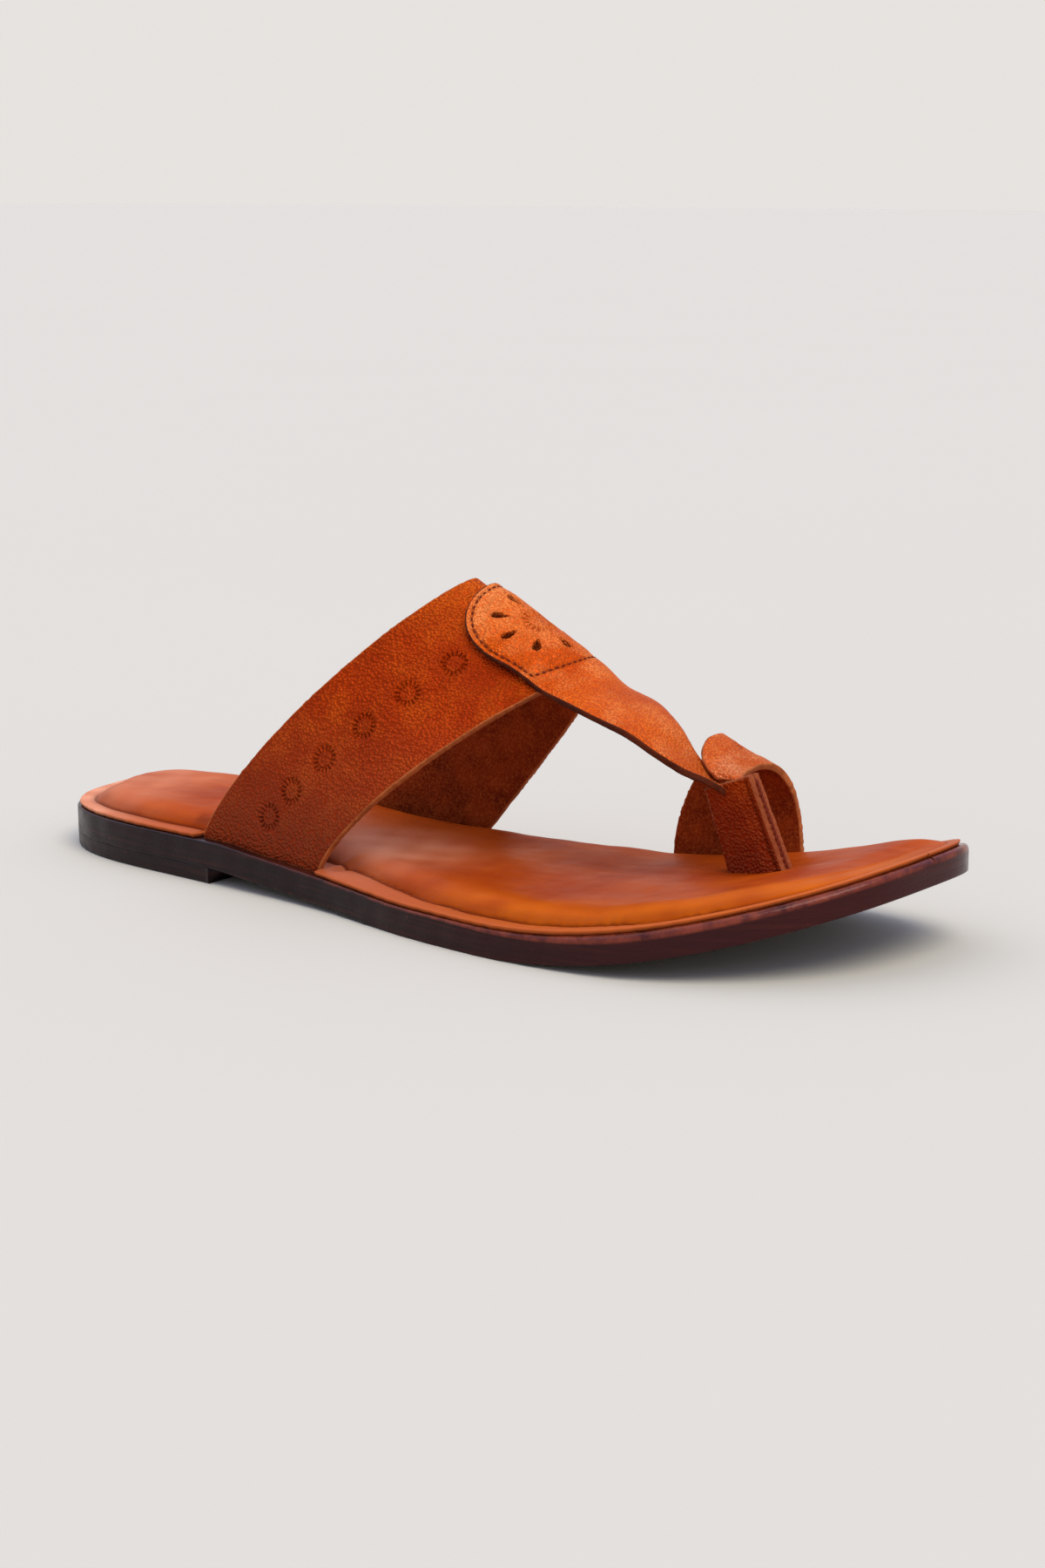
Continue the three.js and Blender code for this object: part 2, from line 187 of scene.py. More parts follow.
def sole_underside(x):
    waist = np.clip((WAIST_END - x) / (WAIST_END - WAIST_START), 0, 1)
    spring = np.maximum(0, (x - SPRING_START) / (SPRING_END - SPRING_START))
    return HEEL_LIFT * waist ** WAIST_POWER + SPRING * spring ** SPRING_POWER


def sole_top(x):
    return sole_underside(x) + SOLE_THICKNESS


def catmull_rom(points, places, closed):
    """Points of the smooth curve through the given ones, and the curve's tangents there."""
    count = len(points)
    whole = np.floor(places).astype(int)
    if not closed:
        whole = np.clip(whole, 0, count - 2)
    t = (places - whole).reshape((-1,) + (1,) * (points.ndim - 1))

    def at(step):
        index = whole + step
        return points[index % count] if closed else points[np.clip(index, 0, count - 1)]

    p0, p1, p2, p3 = at(-1), at(0), at(1), at(2)
    square, cube = 2 * p0 - 5 * p1 + 4 * p2 - p3, 3 * p1 - p0 - 3 * p2 + p3
    curve = 0.5 * (2 * p1 + (p2 - p0) * t + square * t ** 2 + cube * t ** 3)
    tangent = 0.5 * ((p2 - p0) + 2 * square * t + 3 * cube * t ** 2)
    return curve, tangent


def outline_points(fractions, medial, insets):
    """Outline from heel (0) to toe (1), moved inwards: a row for each fraction."""
    toe = TOE_TIP / len(OUTLINE)
    place = 1 - fractions * (1 - toe) if medial else fractions * toe
    curve, tangent = catmull_rom(OUTLINE, (place % 1) * len(OUTLINE), True)
    tangent = unit(tangent)
    inwards = np.stack([-tangent[:, 1], tangent[:, 0]], axis=1)
    return curve[:, None] + inwards[:, None] * insets[..., None]


def arch_point(edge, fraction):
    """Points of a strap edge: fraction 0 is the lateral end, 0.5 the apex, 1 the medial end."""
    angle = np.minimum(fraction, 1 - fraction) * math.pi
    rising, level = np.sin(angle), np.maximum(0, np.cos(angle))
    apex = edge["apex"]
    points = np.empty(fraction.shape + (3,))
    for side, here in (("lateral", fraction < 0.5), ("medial", fraction >= 0.5)):
        end = edge[side]
        base = end.get("z", sole_top(end["x"]) + BASE_CLEARANCE)
        points[here, 0] = end["x"] + (apex[0] - end["x"]) * rising[here] ** end["run"]
        points[here, 1] = apex[1] + (end["y"] - apex[1]) * level[here] ** end["spread"]
        points[here, 2] = base + (apex[2] - base) * rising[here] ** end["rise"]
    return points


def strap_point(edges, fraction, across):
    back, front = arch_point(edges["back"], fraction), arch_point(edges["front"], fraction)
    points = back + (front - back) * np.asarray(across)[..., None]
    points[..., 2] = np.maximum(points[..., 2], sole_top(points[..., 0]) + BASE_CLEARANCE)
    return points


ARC = np.linspace(0, 1, 1201)


def arc_distances(edges, across):
    """Arc distance from the apex line at each of the ARC fractions, medial positive."""
    points = strap_point(edges, ARC, across)
    walked = np.append(0, np.cumsum(np.linalg.norm(np.diff(points, axis=0), axis=1)))
    return walked - np.interp(0.5, ARC, walked)


def strap_width(edges):
    return np.linalg.norm(np.subtract(edges["back"]["apex"], edges["front"]["apex"]))


def fraction_at(edges, distance, across):
    return np.interp(distance, arc_distances(edges, across), ARC)


def grid_normals(grid):
    """Normals of a grid of points: along the rows crossed with over the columns."""
    along = np.gradient(grid, axis=0)
    over = np.gradient(grid, axis=1)
    return unit(np.cross(along, over))


def sample_grid(grid, row, column):
    """Points between the grid's own, at fractional rows and columns."""
    row = np.clip(row, 0, grid.shape[0] - 1.001)
    column = np.clip(column, 0, grid.shape[1] - 1.001)
    i, j = np.floor(row).astype(int), np.floor(column).astype(int)
    u, v = (row - i)[:, None], (column - j)[:, None]
    near = grid[i, j] * (1 - v) + grid[i, j + 1] * v
    far = grid[i + 1, j] * (1 - v) + grid[i + 1, j + 1] * v
    return near * (1 - u) + far * u


def graded(low, high, centres, reach):
    """Positions from low to high that lie close together near the centres."""
    positions = [low]
    while positions[-1] < high:
        near = any(abs(positions[-1] - centre) < reach for centre in centres)
        positions.append(positions[-1] + (FINE if near else COARSE))
    positions[-1] = high
    return np.array(positions)


# ---- meshes -------------------------------------------------------------------------------

def grid_faces(indices):
    """Quads over a grid of vertex indices, facing along x over."""
    a, b = indices[:-1, :-1], indices[1:, :-1]
    c, d = indices[1:, 1:], indices[:-1, 1:]
    return np.stack([a, b, c, d], axis=-1).reshape(-1, 4)


def add_object(name, data):
    thing = bpy.data.objects.new(name, data)
    bpy.context.scene.collection.objects.link(thing)
    return thing


def add_piece(name, vertices, faces, materials, node):
    """A mesh object in the part's frame that rides the part in place of one of its CAD nodes."""
    mesh = bpy.data.meshes.new(name)
    mesh.from_pydata(((vertices - np.array(ORIGIN)) * 0.001).tolist(), [], faces)
    for material in materials:
        mesh.materials.append(material)
    mesh.shade_smooth()
    piece = add_object(name, mesh)
    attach(piece, "root")
    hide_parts(node)
    return piece


def paint(piece, name, values):
    """Values at the piece's points, for its materials to read."""
    layer = piece.data.attributes.new(name, "FLOAT", "POINT")
    layer.data.foreach_set("value", values.ravel().astype(np.float32))


def weld(piece):
    """Joins the points that fall together where a shell closes at the heel and the toe."""
    work = bmesh.new()
    work.from_mesh(piece.data)
    bmesh.ops.remove_doubles(work, verts=work.verts, dist=2e-6)
    bmesh.ops.dissolve_degenerate(work, edges=work.edges, dist=2e-6)
    work.to_mesh(piece.data)
    work.free()


def leather_sheet(grid, normals, relief, seed, thickness=STRAP):
    """Closed sheet with its outer face on the grid: vertices, quads, the material of each quad
    (grain side, cut edge or flesh side) and the outer face's points."""
    rows, columns = grid.shape[:2]
    i, j = np.arange(rows), np.arange(columns)
    loop = np.concatenate([
        np.stack([i[:-1], np.zeros(rows - 1, int)], 1),
        np.stack([np.full(columns - 1, rows - 1), j[:-1]], 1),
        np.stack([i[:0:-1], np.full(rows - 1, columns - 1)], 1),
        np.stack([np.zeros(columns - 1, int), j[:0:-1]], 1),
    ])
    outer, inner = grid + relief[..., None] * normals, grid - thickness * normals
    inner += 0.12 * waves(inner, 4.0, seed + 1)[..., None] * normals
    edge, lift = outer[loop[:, 0], loop[:, 1]], normals[loop[:, 0], loop[:, 1]]
    depth = thickness + relief[loop[:, 0], loop[:, 1]][:, None]
    tangent = unit(np.roll(edge, -1, axis=0) - np.roll(edge, 1, axis=0))
    outwards = unit(np.cross(tangent, lift))
    fray = EDGE_FRAY * waves(edge, 1.7, seed)[:, None]

    def ring(angle, low):
        out = (EDGE_BEVEL + fray) * math.sin(angle)
        down = EDGE_BEVEL * (1 - math.cos(angle))
        return edge + out * outwards - (depth - down if low else down) * lift

    quarter = np.radians([30, 60, 90])
    rings = [ring(a, False) for a in quarter] + [ring(a, True) for a in quarter[::-1]]

    count = rows * columns
    outer_index = np.arange(count).reshape(rows, columns)
    inner_index = outer_index + count
    band = [outer_index[loop[:, 0], loop[:, 1]]]
    band += [2 * count + k * len(loop) + np.arange(len(loop)) for k in range(len(rings))]
    band = np.array(band + [inner_index[loop[:, 0], loop[:, 1]]])
    band = np.concatenate([band, band[:, :1]], axis=1)

    vertices = np.concatenate([outer.reshape(-1, 3), inner.reshape(-1, 3), *rings])
    faces = [grid_faces(outer_index), grid_faces(band), grid_faces(inner_index)[:, ::-1]]
    slots = np.concatenate([np.full(len(part), k) for k, part in enumerate(faces)])
    return vertices, np.concatenate(faces), slots, outer


def add_sheet(name, sheet, mark, materials):
    """A leather sheet as a piece of the upper, with the darkness of its stamps painted on."""
    vertices, faces, slots, _ = sheet
    piece = add_piece(name, vertices, faces.tolist(), materials, "upper")
    piece.data.polygons.foreach_set("material_index", slots.astype(np.int32))
    paint(piece, "mark", np.concatenate([mark.ravel(), np.zeros(len(vertices) - mark.size)]))


def add_stitches(name, spans, radius, material):
    """Stitches of one seam: short threads that dip into the leather at both ends."""
    starts, ends, normals = spans
    places = np.array([-1, -0.93, -0.7, -0.25, 0.25, 0.7, 0.93, 1])
    swell = np.array([0.15, 0.55, 0.9, 1, 1, 0.9, 0.55, 0.15]) * radius
    rise = radius * (0.45 - 1.3 * np.abs(places) ** 3)
    sides = 7
    turn = np.arange(sides) * 2 * math.pi / sides
    beside = unit(np.cross(unit(ends - starts), normals))
    middle, half = (starts + ends) / 2, (ends - starts) / 2
    centres = middle[:, None] + half[:, None] * places[:, None] + normals[:, None] * rise[:, None]
    circle = beside[:, None] * np.cos(turn)[:, None] + normals[:, None] * np.sin(turn)[:, None]
    points = centres[:, :, None] + circle[:, None] * swell[:, None, None]
    index = np.arange(points[..., 0].size).reshape(points.shape[:3])
    closed = np.concatenate([index, index[:, :, :1]], axis=2)
    faces = np.concatenate([grid_faces(stitch)[:, ::-1] for stitch in closed]).tolist()
    for stitch in index.tolist():
        faces += [stitch[0], stitch[-1][::-1]]
    add_piece(name, points.reshape(-1, 3), faces, [material], "upper")


def stitch_spans(path, normals, pitch, length):
    """Start, end and normal of each stitch along a path."""
    walked = np.append(0, np.cumsum(np.linalg.norm(np.diff(path, axis=0), axis=1)))
    starts = np.arange(0, walked[-1] - length, pitch)

    def at(values, distance):
        return np.stack([np.interp(distance, walked, values[:, k]) for k in range(3)], axis=1)

    return at(path, starts), at(path, starts + length), unit(at(normals, starts + length / 2))


# ---- materials ----------------------------------------------------------------------------

class Nodes:
    """Short helpers round one material's node tree."""

    def __init__(self, name):
        self.material = bpy.data.materials.new(name)
        self.material.use_nodes = True
        self.tree = self.material.node_tree
        self.shader = self.tree.nodes["Principled BSDF"]
        self.place = self.tree.nodes.new("ShaderNodeTexCoord").outputs["Object"]

    def add(self, kind, values=None, **inputs):
        """inputs' keys are socket names with _ for a space; a socket links and a value is set."""
        node = self.tree.nodes.new(kind)
        for key, value in (values or {}).items():
            setattr(node, key, value)
        for key, value in inputs.items():
            self.feed(node.inputs[key.replace("_", " ")], value)
        return node

    def feed(self, socket, value):
        if isinstance(value, bpy.types.NodeSocket):
            self.tree.links.new(value, socket)
        else:
            socket.default_value = value

    def math(self, operation, a, b):
        node = self.add("ShaderNodeMath", {"operation": operation})
        self.feed(node.inputs[0], a)
        self.feed(node.inputs[1], b)
        return node.outputs[0]

    def noise(self, size, detail=3.0, roughness=0.55, place=None):
        """Noise with features about size millimetres apart."""
        node = self.add("ShaderNodeTexNoise", Vector=place or self.place, Scale=1000 / size,
                        Detail=detail, Roughness=roughness)
        return node.outputs["Fac"]

    def pebbles(self, size):
        """Random domes about size millimetres wide: 1 at the top of each, 0 between them."""
        node = self.add("ShaderNodeTexVoronoi", {"feature": "SMOOTH_F1"},
                        Vector=self.place, Scale=1000 / size, Smoothness=0.1)
        return self.spread(node.outputs["Distance"], 0.1, 0.75, 1.0, 0.0)

    def stretched(self, scale):
        return self.add("ShaderNodeMapping", Vector=self.place, Scale=scale).outputs["Vector"]

    def spread(self, value, low, high, to_low=0.0, to_high=1.0):
        node = self.add("ShaderNodeMapRange", Value=value, From_Min=low, From_Max=high,
                        To_Min=to_low, To_Max=to_high)
        return node.outputs["Result"]

    def axis(self, letter):
        return self.add("ShaderNodeSeparateXYZ", Vector=self.place).outputs[letter]

    def attribute(self, name):
        return self.add("ShaderNodeAttribute", {"attribute_name": name}).outputs["Fac"]

    def mix(self, share, a, b):
        node = self.add("ShaderNodeMix", {"data_type": "RGBA"})
        self.feed(node.inputs["Factor"], share)
        self.feed(node.inputs[6], a)
        self.feed(node.inputs[7], b)
        return node.outputs[2]

    def bump(self, height, strength, distance, normal=None):
        node = self.add("ShaderNodeBump", Height=height, Strength=strength, Distance=distance)
        if normal is not None:
            self.feed(node.inputs["Normal"], normal)
        return node.outputs["Normal"]

    def finish(self, **inputs):
        for key, value in inputs.items():
            self.feed(self.shader.inputs[key.replace("_", " ")], value)
        return self.material


def srgb(red, green, blue):
    """Linear colour of an 8-bit sRGB one."""
    def linear(value):
        value /= 255
        return value / 12.92 if value <= 0.04045 else ((value + 0.055) / 1.055) ** 2.4
    return (linear(red), linear(green), linear(blue), 1.0)


def strap_leather(name, base, deep, light, wear_and_sheen=0.3):
    """Drum-dyed full-grain strap leather: pebbled grain, cloudy dye, painted shade towards the
    bases, painted highlight at the crown, paler patches of wear and painted sheen.
    """
    m = Nodes(name)
    cloud = m.noise(26, 4, 0.6)
    colour = m.mix(m.spread(cloud, 0.35, 0.7), base, deep)
    # Paler patches of wear and painted sheen; the T-strap and loop take more, standing in for the
    # soft highlights on their tops.
    colour = m.mix(m.math("MULTIPLY", m.spread(m.noise(9, 3), 0.45, 0.7), wear_and_sheen), colour, light)
    # Painted shade: the straps darken towards their bases near the sole.
    low = m.spread(m.math("ADD", m.axis("Z"), m.math("MULTIPLY", cloud, 0.016)), 0.062, 0.026)
    colour = m.mix(m.math("MULTIPLY", low, 0.75), colour, srgb(106, 48, 30))
    # Painted highlight: the straps lighten towards the crown, above about 72 mm.
    high = m.spread(m.axis("Z"), 0.072, 0.087, 0.0, 0.7)
    colour = m.mix(m.math("MULTIPLY", high, m.spread(cloud, 0.3, 0.55, 0.5, 1.0)), colour, light)
    pebble = m.pebbles(0.85)
    colour = m.mix(m.spread(pebble, 0.5, 0.05, 0.0, 0.6), colour, deep)
    colour = m.mix(m.spread(pebble, 0.75, 1.0, 0.0, 0.2), colour, light)
    colour = m.mix(m.attribute("mark"), colour, srgb(40, 8, 3))
    wrinkle = m.noise(2.2, 5, 0.65, m.stretched((1.0, 0.5, 1.0)))
    normal = m.bump(wrinkle, 0.5, 0.0009)
    normal = m.bump(pebble, 0.9, 0.00042, normal)
    normal = m.bump(m.noise(0.4, 3, 0.6), 0.25, 0.00015, normal)
    rough = m.spread(m.noise(6, 3), 0.3, 0.7, 0.32, 0.42)
    return m.finish(Base_Color=colour, Roughness=rough, Normal=normal, Metallic=0.4,
                    Specular_IOR_Level=0.06, Specular_Tint=(1.0, 0.62, 0.36, 1))


def raw_edge(name, pale, brown):
    """Cut edge of vegetable-tanned leather: pale fibres between the dyed faces."""
    m = Nodes(name)
    fibre = m.noise(0.5, 4, 0.7)
    colour = m.mix(m.spread(fibre, 0.35, 0.7), pale, brown)
    colour = m.mix(m.spread(m.noise(8, 3), 0.4, 0.7, 0.0, 0.6), colour, srgb(104, 42, 16))
    return m.finish(Base_Color=colour, Roughness=0.85, Specular_IOR_Level=0.1,
                    Normal=m.bump(fibre, 0.6, 0.0003))


def flesh_side():
    """Inner side of the straps: dark suede with a loose nap."""
    m = Nodes("flesh_side")
    nap = m.noise(0.7, 5, 0.7)
    colour = m.mix(m.spread(m.noise(9, 4), 0.35, 0.7), srgb(142, 52, 14), srgb(98, 28, 7))
    colour = m.mix(m.math("MULTIPLY", m.spread(nap, 0.45, 0.65), 0.6), colour, srgb(184, 92, 40))
    return m.finish(Base_Color=colour, Roughness=0.92, Specular_IOR_Level=0.05,
                    Normal=m.bump(nap, 0.7, 0.0005))


def footbed_leather():
    """Smooth burnished leather over the padding: burnish and painted shade in the creases and along
    the seams, painted sheen at the heel and before the band, golden tone and painted sheen on the
    forefoot.
    """
    m = Nodes("footbed_leather")
    cloud = m.noise(34, 4, 0.6)
    colour = m.mix(m.spread(cloud, 0.35, 0.68), srgb(176, 76, 14), srgb(148, 52, 7))
    streak = m.noise(5, 4, 0.6, m.stretched((0.12, 1.0, 1.0)))
    colour = m.mix(m.math("MULTIPLY", m.spread(streak, 0.5, 0.75), 0.4), colour, srgb(186, 82, 20))
    colour = m.mix(m.attribute("rim"), colour, srgb(174, 86, 46))
    # Golden tone on the forefoot, partly painted sheen for its golden highlight.
    colour = m.mix(m.attribute("gold_and_sheen"), colour, srgb(198, 98, 10))
    # Painted sheen: pale patches at the heel and just in front of the band stand in for soft
    # reflections.
    colour = m.mix(m.attribute("wear_and_sheen"), colour, srgb(228, 158, 122))
    # Darker leather: real burnish on the scribed heel line and round the post, painted shade in the
    # crease, its hollow, under the band and behind its back corner.
    colour = m.mix(m.attribute("burnish_and_shade"), colour, srgb(70, 13, 3))
    normal = m.bump(m.noise(3.5, 4, 0.6), 0.2, 0.0006)
    normal = m.bump(m.pebbles(0.9), 0.12, 0.00015, normal)
    rough = m.spread(m.noise(12, 3), 0.3, 0.7, 0.38, 0.5)
    return m.finish(Base_Color=colour, Roughness=rough, Normal=normal,
                    Metallic=0.15, Specular_IOR_Level=0.04, Specular_Tint=(1.0, 0.62, 0.4, 1))


def sole_leather(name, lift=0.0):
    """Stacked sole leather with dyed and burnished edges, oxblood towards the toe."""
    m = Nodes(name)
    forward = m.math("ADD", m.axis("X"), m.math("MULTIPLY", m.noise(30, 3), 0.06))
    layers = m.noise(1.1, 3, 0.6, m.stretched((0.03, 0.03, 1.0)))
    colour = m.mix(m.spread(forward, 0.02, 0.15), srgb(10, 5, 6), srgb(48, 10, 9))
    colour = m.mix(m.math("MULTIPLY", m.spread(layers, 0.5, 0.72), 0.35), colour, srgb(70, 26, 18))
    scuff = m.spread(m.noise(2.4, 5, 0.75), 0.62, 0.72)
    colour = m.mix(m.math("MULTIPLY", scuff, 0.25), colour, srgb(104, 50, 34))
    # Paler rounded top edge towards the toe: rubbed wear, and painted sheen where that edge catches
    # the light.
    wear_and_sheen = m.math("MULTIPLY", m.attribute("bevel"), m.spread(m.noise(7, 4, 0.7), 0.3, 0.6))
    colour = m.mix(m.math("MULTIPLY", wear_and_sheen, 0.8), colour, srgb(120, 52, 30))
    normal = m.bump(layers, 0.25, 0.0004)
    normal = m.bump(m.noise(1.0, 4), 0.2, 0.0003, normal)
    rough = m.spread(m.noise(4, 4), 0.3, 0.7, 0.18 + lift, 0.38 + lift)
    rough = m.math("SUBTRACT", rough, m.math("MULTIPLY", m.attribute("bevel"), 0.08))
    return m.finish(Base_Color=colour, Roughness=rough, Normal=normal,
                    Specular_IOR_Level=0.26, Specular_Tint=(1.0, 0.7, 0.75, 1))


def seam_thread():
    m = Nodes("seam_thread")
    twist = m.noise(0.5, 2)
    colour = m.mix(twist, srgb(78, 22, 9), srgb(116, 42, 20))
    return m.finish(Base_Color=colour, Roughness=0.8, Specular_IOR_Level=0.1,
                    Normal=m.bump(twist, 0.5, 0.0002))


# ---- decoration on the straps -------------------------------------------------------------

def sunburst(x, y, scale):
    """Depth and darkness of a stamped ring of rays round a small disc."""
    radius, angle = np.hypot(x, y) / scale, np.arctan2(y, x)
    step = 2 * math.pi / STAMP_RAYS
    beside = radius * np.sin((angle / step - np.round(angle / step)) * step)
    ray = ramp(radius, 2.0, 2.5) * ramp(radius, 4.1, 3.7) * bump_at(beside, 0, 0.25)
    disc = ramp(radius, 1.9, 1.2)
    dish = ramp(radius, 4.6, 3.0)
    depth = -0.6 * ray - 0.04 * disc - 0.16 * dish
    return depth, 0.34 * ray + 0.07 * disc


def petals(ahead, aside):
    """Depth and darkness of the ring of teardrop cut-outs, pointed towards the centre."""
    radius, angle = np.hypot(ahead, aside), np.arctan2(aside, ahead)
    step = 2 * math.pi / PETALS
    turn = (angle / step - np.round(angle / step)) * step
    along = (radius * np.cos(turn) - PETAL_RING) / PETAL_LENGTH + 0.5
    inside = np.clip(along, 0, 1)
    width = PETAL_HALF_WIDTH * 2 * inside * np.sqrt(1 - inside ** 2)
    room = width - np.abs(radius * np.sin(turn))
    cut = ramp(room, 0.0, 0.28) * (along > 0) * (along < 1)
    lip = bump_at(room, -0.25, 0.3) * (along > -0.06) * (along < 1.06)
    return -PETAL_DEPTH * cut + 0.14 * lip, 0.88 * cut


def stamp_places(edges, stamps, sides):
    """Fraction, centre and tangent frame of each stamp that fits on the strap."""
    places = []
    for distance, across in stamps:
        walked = arc_distances(edges, across)
        for side in sides:
            if not walked[0] + STAMP_ROOM < side * distance < walked[-1] - STAMP_ROOM:
                continue
            fraction = np.interp(side * distance, walked, ARC)
            around = np.array([fraction, fraction - 0.004, fraction + 0.004])
            centre, before, after = strap_point(edges, around, across)
            wide = strap_point(edges, np.array([fraction]), across + 0.01)[0] - centre
            along = unit(after - before)
            over = unit(wide - along * (wide @ along))
            places.append((fraction, centre, along, over))
    return places


def stamp_relief(grid, places):
    depth, mark = np.zeros(grid.shape[:2]), np.zeros(grid.shape[:2])
    for _, centre, along, over in places:
        offset = grid - centre
        near = np.linalg.norm(offset, axis=2) < 6
        sunk, dark = sunburst(offset[near] @ along, offset[near] @ over, 1.0)
        depth[near] += sunk
        mark[near] = np.maximum(mark[near], dark)
    return depth, mark


def arch_strap(name, edges, stamps, materials, seed, sides=(-1, 1)):
    """A strap over the foot with its stamps."""
    middle = arc_distances(edges, 0.45)
    places = stamp_places(edges, stamps, sides)
    centres = [float(np.interp(place[0], ARC, middle)) for place in places]
    fractions = np.interp(graded(middle[0], middle[-1], centres, STAMP_REACH), middle, ARC)
    width = strap_width(edges)
    columns = graded(EDGE_BEVEL, width - EDGE_BEVEL, [width * a for _, a in stamps], STAMP_REACH)
    across = columns[::-1] / width
    rows = fractions[:, None] + 0 * across
    grid = strap_point(edges, rows, across[None] + 0 * rows)
    depth, mark = stamp_relief(grid, places)
    depth += 0.16 * waves(grid, 24, seed) + 0.05 * waves(grid, 7, seed + 5)
    add_sheet(name, leather_sheet(grid, grid_normals(grid), depth, seed), mark, materials)


# ---- T-strap ------------------------------------------------------------------------------

BAND_WIDTH = strap_width(BAND_EDGES)


def head_half_width(ahead):
    """Half width of the head at a distance in front of its centre."""
    radius = HEAD_RADIUS - EDGE_BEVEL
    round_part = np.sqrt(np.maximum(0.0, radius ** 2 - ahead ** 2))
    shoulder = HEAD_SHOULDER - EDGE_BEVEL
    merged = shoulder + SHOULDER_BLEND * np.logaddexp(0, (round_part - shoulder) / SHOULDER_BLEND)
    return np.where(ahead > 0, merged, round_part)


def band_points(ahead, aside):
    """Points of the band by distance ahead of (one a row) and beside the head's centre."""
    points = np.empty(aside.shape + (3,))
    for k, distance in enumerate(ahead):
        across = HEAD_CENTRE + distance / BAND_WIDTH
        points[k] = strap_point(BAND_EDGES, fraction_at(BAND_EDGES, aside[k], across), across)
    return points


def head_rows(ahead, sides):
    """Points of the head's outer face, and the normals there."""
    aside = head_half_width(ahead)[:, None] * sides
    along = band_points(ahead + 1, aside) - band_points(ahead - 1, aside)
    over = band_points(ahead, aside + 1) - band_points(ahead, aside - 1)
    normals = unit(np.cross(along, over))
    return band_points(ahead, aside) + STRAP_LIFT * normals, normals


def neck_row(row, sides):
    reach = row["half"] * sides * math.cos(row["roll"])
    rise = row["half"] * sides * math.sin(row["roll"]) - row["droop"] * sides ** 2
    return np.stack([row["x"] + reach * math.sin(row["turn"]),
                     row["y"] + reach * math.cos(row["turn"]), row["z"] + rise], axis=1)


def t_strap_grid(sides):
    """Outer face of the T-strap from the tip of its head to the post, its normals, and each
    row's distance in front of the head's centre."""
    tip = -(HEAD_RADIUS - EDGE_BEVEL) * np.cos(np.radians([3, 5.5, 8, 10.5, 13, 15.5, 18]))
    ahead = np.concatenate([tip, np.arange(tip[-1] + 0.27, NECK_START, 0.27)])
    head, head_normals = head_rows(ahead, sides)
    guides, _ = head_rows(np.array([6.5, NECK_START, HEAD_END]), sides)
    guides = np.concatenate([guides, [neck_row(row, sides) for row in NECK_ROWS]])
    neck, _ = catmull_rom(guides, np.linspace(1, len(guides) - 1, 100)[1:], False)
    middle = neck[:, len(sides) // 2]
    steps = np.linalg.norm(np.diff(middle, axis=0), axis=1)
    walked = NECK_START + 0.5 + np.append(0, np.cumsum(steps))
    grid = np.concatenate([head, neck])
    normals = grid_normals(grid)
    normals[:len(head)] = head_normals
    return grid, normals, np.concatenate([ahead, walked])


def seam_half_width(ahead):
    return head_half_width(ahead) - (HEAD_RADIUS - EDGE_BEVEL - HEAD_SEAM_RADIUS)


def head_seam():
    """Path of the head's seam: round the head and across the strap in front of it."""
    angles = np.linspace(math.pi / 2, 3 * math.pi / 2, 160)
    sides = np.linspace(HEAD_SEAM_FRONT, 0.3, 50)
    cross = np.linspace(-1, 1, 80)
    half = seam_half_width(sides)
    ahead = [sides, HEAD_SEAM_RADIUS * np.cos(angles), sides[::-1],
             HEAD_SEAM_FRONT + HEAD_SEAM_SAG * (1 - cross ** 2)]
    aside = [half, HEAD_SEAM_RADIUS * np.sin(angles), -half[::-1], half[0] * cross]
    return np.concatenate(ahead), np.concatenate(aside)


def head_relief(ahead, aside):
    """Relief and darkness over the T-strap, by distance ahead of and beside the head's centre."""
    depth, mark = sunburst(ahead, aside, 1.15)
    cut, dark = petals(ahead, aside)
    radius = np.hypot(ahead, aside)
    limit = np.maximum(seam_half_width(ahead), 1.0)
    rim = np.where(ahead < 0, HEAD_SEAM_RADIUS - radius, limit - np.abs(aside))
    cross = HEAD_SEAM_FRONT + HEAD_SEAM_SAG * (1 - (aside / limit) ** 2)
    inside = np.minimum(rim, cross - ahead)
    seam = bump_at(inside, 0, 0.45)
    puff = ramp(inside, 0.4, 4) * 0.35
    scribe = bump_at(radius, 13.2, 0.16) * ramp(ahead, 9, 8)
    depth = depth + cut + puff - 0.32 * seam - 0.1 * scribe
    return depth, np.clip(np.maximum.reduce([mark, dark, 0.35 * seam, 0.2 * scribe]), 0, 1)


def t_strap(materials, thread_material):
    sides = np.linspace(-1, 1, 133)
    grid, normals, ahead = t_strap_grid(sides)
    halves = np.linalg.norm(grid[:, -1] - grid[:, 0], axis=1) / 2
    halves[ahead < HEAD_END] = head_half_width(ahead[ahead < HEAD_END])
    aside = halves[:, None] * sides
    depth, mark = head_relief(ahead[:, None] + 0 * aside, aside)
    depth += 0.1 * waves(grid, 14, 31) - 0.15 * ramp(np.abs(sides), 0.86, 1.0)
    sheet = leather_sheet(grid, normals, depth, 33)
    add_sheet("t_strap", sheet, mark, materials)

    path_ahead, path_aside = head_seam()
    row = np.interp(path_ahead, ahead, np.arange(len(ahead)))
    half = np.interp(path_ahead, ahead, halves)
    column = (path_aside / half + 1) / 2 * (len(sides) - 1)
    path, lift = sample_grid(sheet[-1], row, column), sample_grid(normals, row, column)
    add_stitches("head_stitches", stitch_spans(path, lift, 2.0, 1.4), 0.26, thread_material)


# ---- toe post -----------------------------------------------------------------------------

